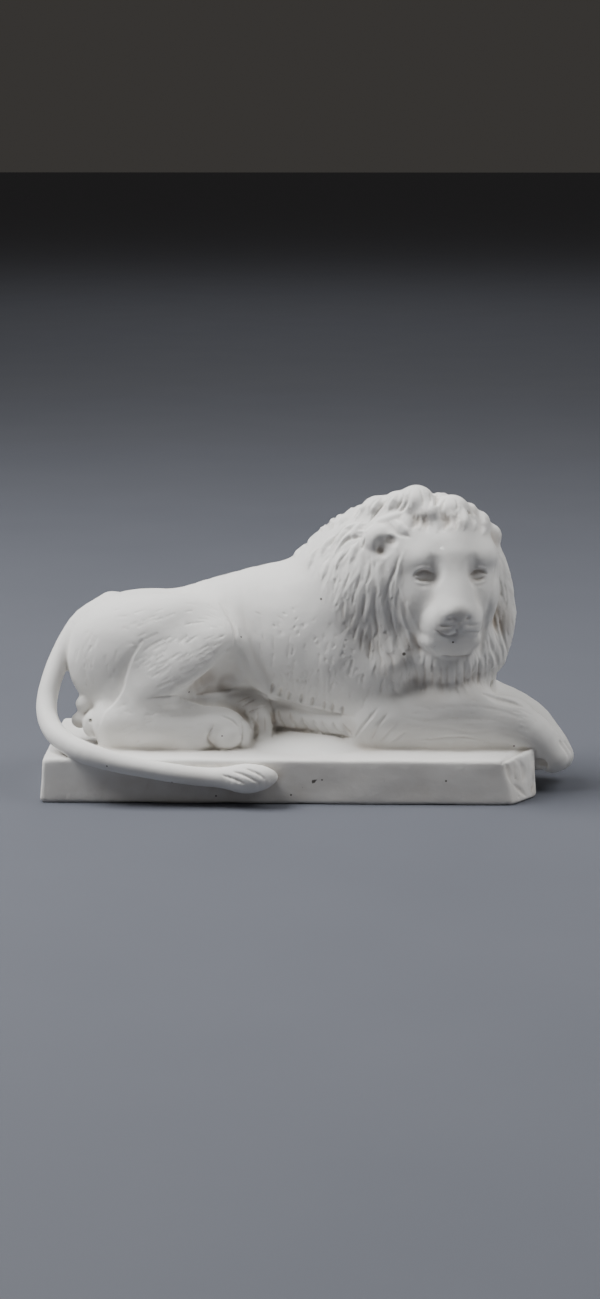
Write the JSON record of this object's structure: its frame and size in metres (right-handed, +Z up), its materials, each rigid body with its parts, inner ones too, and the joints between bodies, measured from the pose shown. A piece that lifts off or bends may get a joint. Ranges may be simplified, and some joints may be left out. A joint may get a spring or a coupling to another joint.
{
  "type": "reclining lion figurine",
  "caption": "Reclining lion with a turned head on a low rectangular plinth, cast in one piece in matt white porcelain.",
  "frame": {"origin": "middle of the plinth's underside", "axes": "+X along the plinth towards the forepaws, -Y towards the side that the face looks to, +Z up"},
  "size_m": [0.2209, 0.0868, 0.1228],
  "materials": {
    "porcelain": "matt, unglazed"
  },
  "bodies": {
    "root": {"lion_on_plinth": "porcelain"}
  },
  "joints": []
}
